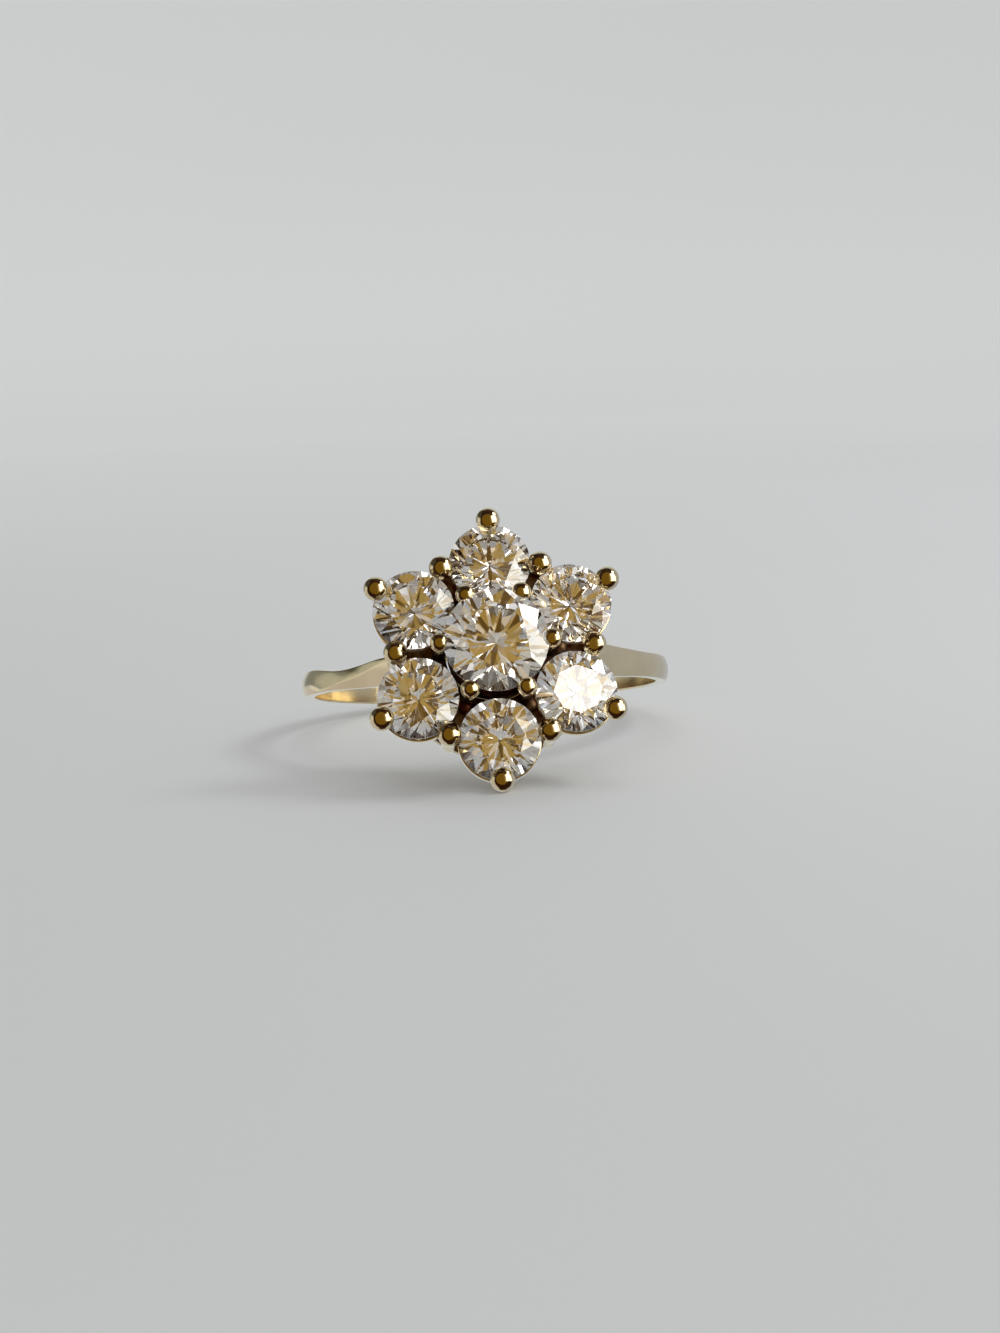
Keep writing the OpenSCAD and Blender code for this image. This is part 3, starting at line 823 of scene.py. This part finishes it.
class RING_OT_stage(bpy.types.Operator):
    """Sets the floor, the backdrop, the lights and the camera"""

    bl_idname = "ring.stage"
    bl_label = "Stage"

    def execute(self, context):
        settings = context.scene.ring_stage
        ring = [made for made in context.scene.objects if made.type == "MESH"]
        self.lay_floor(settings)
        self.light_room(context, settings)
        self.hang_lights(context, settings, ring)
        self.stand_cards(settings)
        self.place_camera(context, settings)
        return {"FINISHED"}

    def lay_floor(self, settings):
        """A flat round floor and, past its edge, a backdrop of revolution that curves up from it:
        r = r0 + (r1 - r0) sin t, h = h1 (1 - cos t). Neither shows in the metal, and the backdrop
        only shows to the camera."""
        sheet = matt_sheet(settings)
        t = np.linspace(0, math.pi / 2, STAGE_ROWS)
        out = FLOOR_REACH + (BACKDROP_REACH - FLOOR_REACH) * np.sin(t)
        rise = np.stack([out, BACKDROP_TOP * (1 - np.cos(t))], 1)
        flat = np.array([[0, 0], [FLOOR_REACH, 0]])
        stage_piece("floor", spun(flat, FLOOR_TURNS), True, sheet, ["glossy"])
        passed_by = ["glossy", "transmission", "diffuse", "shadow"]
        stage_piece("backdrop", spun(rise, FLOOR_TURNS), True, sheet, passed_by)

    def light_room(self, context, settings):
        """The room's light by direction: dimmer on the left, bright on the right and overhead."""
        world = bpy.data.worlds.new("pale_room")
        context.scene.world = world
        world.use_nodes = True
        tree = world.node_tree
        tree.nodes.clear()
        way = add(tree, "TexCoord").outputs["Generated"]
        parts = add(tree, "SeparateXYZ", {"Vector": way}).outputs
        sides = [(-0.8, 0.6, settings.room_right)]
        tone = layered(tree, parts["X"], settings.room_left, sides, "SMOOTHSTEP")
        height = {"Value": parts["Z"], "From Min": 0.1, "From Max": 0.9}
        height |= {"To Min": settings.horizon, "To Max": settings.zenith}
        bright = add(tree, "MapRange", height, interpolation_type="SMOOTHSTEP").outputs["Result"]
        room = add(tree, "Background", {"Color": tone, "Strength": bright})
        add(tree, "OutputWorld", {"Surface": room.outputs["Background"]})

    def hang_lights(self, context, settings, ring):
        """Soft boxes aimed at the head. Each row gives the turn to the right of the camera and the
        height above the floor in degrees, the distance and the sides in mm, the brightness, the
        colour and what it lights, if not all: the front box is mirrored in one petal alone. The
        brightness is the box's radiance, so its power is pi times its area times that."""
        ring = lit_alone("ring_pieces", ring)
        petal = lit_alone("mirroring_petal", [frame["nodes"][MIRRORING_PETAL]])
        for name, turn, rise, away, (wide, tall), bright, shade, lit in (
            ("window_right_near", 52, 16, 95, (36, 110), 3.2, "#fff8ec", ring),
            ("window_right_far", 80, 16, 95, (42, 110), 3.2, "#fff8ec", ring),
            ("window_high_right", 101, 45, 150, (44, 44), 8.0, "#ffffff", None),
            ("small_box_front", 20, 32, 140, (22, 24), 5.5, "#ffffff", petal),
            ("top_box", 175, 66, 260, (150, 90), 1.3, "#f3f7ff", None),
        ):
            light = bpy.data.lights.new(name, "AREA")
            light.shape = "RECTANGLE"
            light.size, light.size_y = wide * MM, tall * MM
            light.energy = math.pi * light.size * light.size_y * bright
            light.color = linear(shade)[:3]
            made = bpy.data.objects.new(name, light)
            away = direction(settings, turn, rise) * away * MM
            made.location = HEAD_MIDDLE + away
            made.rotation_euler = to_look(-away).to_euler()
            made.visible_camera = False
            made.light_linking.receiver_collection = lit
            context.scene.collection.objects.link(made)

    def stand_cards(self, settings):
        """Cards about the head, which glow softly and only show in reflections. Each is a patch of
        a sphere: a round one lies at angles t from the middle, middle cos t + around sin t, and a
        side one spans a range of turns and heights. The tan card and the walls show in the stones,
        and the amber card, its dark surround and the side cards in the metal."""
        s = settings
        in_stones = ["camera", "diffuse", "shadow", "glossy"]
        in_metal = ["camera", "diffuse", "shadow", "transmission"]
        middle = direction(s, 0, CARD_RISE)
        right = np.cross(middle, [0, 0, -1.0])
        right /= np.linalg.norm(right)
        turn = np.linspace(0, 2 * math.pi, CARD_TURNS, endpoint=False)[:, None, None]
        around = right * np.cos(turn) + np.cross(middle, right) * np.sin(turn)
        tans, walls = (s.tan_dark, s.tan, s.tan_pale), (s.walls_dark, s.walls, s.walls_pale)
        all_round = math.radians(179)
        for name, away, inner, outer, shades, grain, passed_by in (
            ("tan_card", 200, 0, s.tan_reach, tans, 24, in_stones),
            ("walls", 300, s.tan_reach * 0.9, all_round, walls, 70, in_stones),
            ("amber_card", 200, 0, s.amber_reach, [s.amber], None, in_metal),
            ("dark_surround", 200, s.amber_reach, s.surround_reach, [s.surround], None, in_metal),
        ):
            t = np.linspace(inner, outer, STAGE_ROWS)[None, :, None]
            grid = HEAD_MIDDLE + away * MM * (middle * np.cos(t) + around * np.sin(t))
            stage_piece(name, grid, True, glowing_card(name, shades, grain), passed_by)
        for name, away, (start, end), (low, high), shade in (
            ("left_low", 170, (-80, -200), (-70, 50), s.side_low),
            ("left_strip", 160, (-80, -110), (-5, 4), s.side_strip),
            ("left_strip_far", 150, (-110, -140), (-17, -11), s.side_strip),
            ("left_mid", 160, (-80, -110), (4, 17), s.side_mid),
            ("left_near", 160, (-110, -128), (-12, 13), s.side_near),
            ("left_near_high", 160, (-110, -128), (13, 17), s.side_far),
            ("left_far", 160, (-128, -152), (-12, 17), s.side_far),
            ("left_high", 160, (-80, -152), (17, 50), s.side_high),
            ("left_back", 160, (-152, -200), (-60, 50), s.side_back),
            ("right_side", 150, (92, 168), (-70, 26), s.side_right),
            ("right_front", 150, (27, 88), (-14, 46), s.cream),
        ):
            turns = np.linspace(start, end, STAGE_ROWS)[:, None]
            rises = np.linspace(low, high, CARD_RISES)[None, :]
            grid = HEAD_MIDDLE + away * MM * direction(s, turns, rises)
            stage_piece(name, grid, False, glowing_card(name, [shade], None), in_metal)

    def place_camera(self, context, settings):
        """Stands the camera off from a point by the finger hole, along the photo's direction."""
        data = bpy.data.cameras.new("photo_view")
        data.sensor_fit = "VERTICAL"
        data.sensor_height = 36
        data.lens = settings.lens
        data.clip_start = 5 * MM
        look = -direction(settings, 0, math.degrees(settings.elevation))
        turn = to_look(look).to_matrix().to_4x4() @ Matrix.Rotation(settings.roll, 4, "Z")
        right, up = np.array(turn.col[0][:3]), np.array(turn.col[1][:3])
        target = HOLE_CENTRE + right * settings.focus_right + up * settings.focus_up
        made = bpy.data.objects.new("photo_view", data)
        made.matrix_world = turn
        made.location = target - look * settings.distance
        context.scene.collection.objects.link(made)
        context.scene.camera = made


def direction(settings, turn, rise):
    """The unit vector from the ring that points so many degrees to the right of the camera, seen
    from above, and so many above the floor."""
    a = np.radians(turn) + settings.azimuth
    e = np.radians(rise)
    return np.stack([np.sin(a) * np.cos(e), -np.cos(a) * np.cos(e), np.sin(e) + 0 * a], -1)


def to_look(way):
    """The rotation that points a camera or a light, which looks along -Z with Y up, this way."""
    return Vector(way).to_track_quat("-Z", "Y")


def lit_alone(name, pieces):
    """A collection of the pieces that a light reaches alone."""
    lit = bpy.data.collections.new(name)
    for made in pieces:
        lit.objects.link(made)
    return lit


def stage_piece(name, grid, closes, material, passed_by):
    """Makes a grid of points a smooth part of the stage, which the given kinds of ray pass by; its
    rows close on themselves if asked."""
    faces = grid_faces(*grid.shape[:2], closes, False).tolist()
    made = smooth_object(name, grid.reshape(-1, 3), faces, material)
    for ray in passed_by:
        setattr(made, f"visible_{ray}", False)


class RING_PT_panel(bpy.types.Panel):
    """Lists the ring's pieces and the stage"""

    bl_idname = "RING_PT_panel"
    bl_label = "Cluster Ring"
    bl_space_type = "VIEW_3D"
    bl_region_type = "UI"
    bl_category = "Cluster Ring"

    def draw(self, context):
        for operator in OPERATORS:
            self.layout.operator(operator.bl_idname)


GROUPS = {
    "ring_shank": RingShankSizes,
    "ring_head": RingHeadSizes,
    "ring_claws": RingClawSizes,
    "ring_stone": RingStoneShape,
    "ring_finish": RingFinish,
    "ring_stage": RingStageSettings,
}
OPERATORS = (RING_OT_shank, RING_OT_gallery, RING_OT_outer_claws)
OPERATORS += (RING_OT_centre_claws, RING_OT_stones, RING_OT_stage)


def register():
    for name, group in GROUPS.items():
        bpy.utils.register_class(group)
        setattr(bpy.types.Scene, name, PointerProperty(type=group))
    for cls in (*OPERATORS, RING_PT_panel):
        bpy.utils.register_class(cls)


def unregister():
    for cls in (RING_PT_panel, *reversed(OPERATORS)):
        bpy.utils.unregister_class(cls)
    for name, group in GROUPS.items():
        delattr(bpy.types.Scene, name)
        bpy.utils.unregister_class(group)


def main():
    register()
    bpy.ops.ring.shank()
    bpy.ops.ring.gallery()
    bpy.ops.ring.outer_claws()
    bpy.ops.ring.centre_claws()
    bpy.ops.ring.stones()
    bpy.ops.ring.stage()
    # A ray that is trapped in a stone bounces many times before it leaves through the crown
    light_paths = bpy.context.scene.cycles
    light_paths.max_bounces = 32
    light_paths.glossy_bounces = light_paths.transmission_bounces = 24
    bpy.context.scene.view_settings.view_transform = "Standard"


if __name__ == "__main__":
    main()
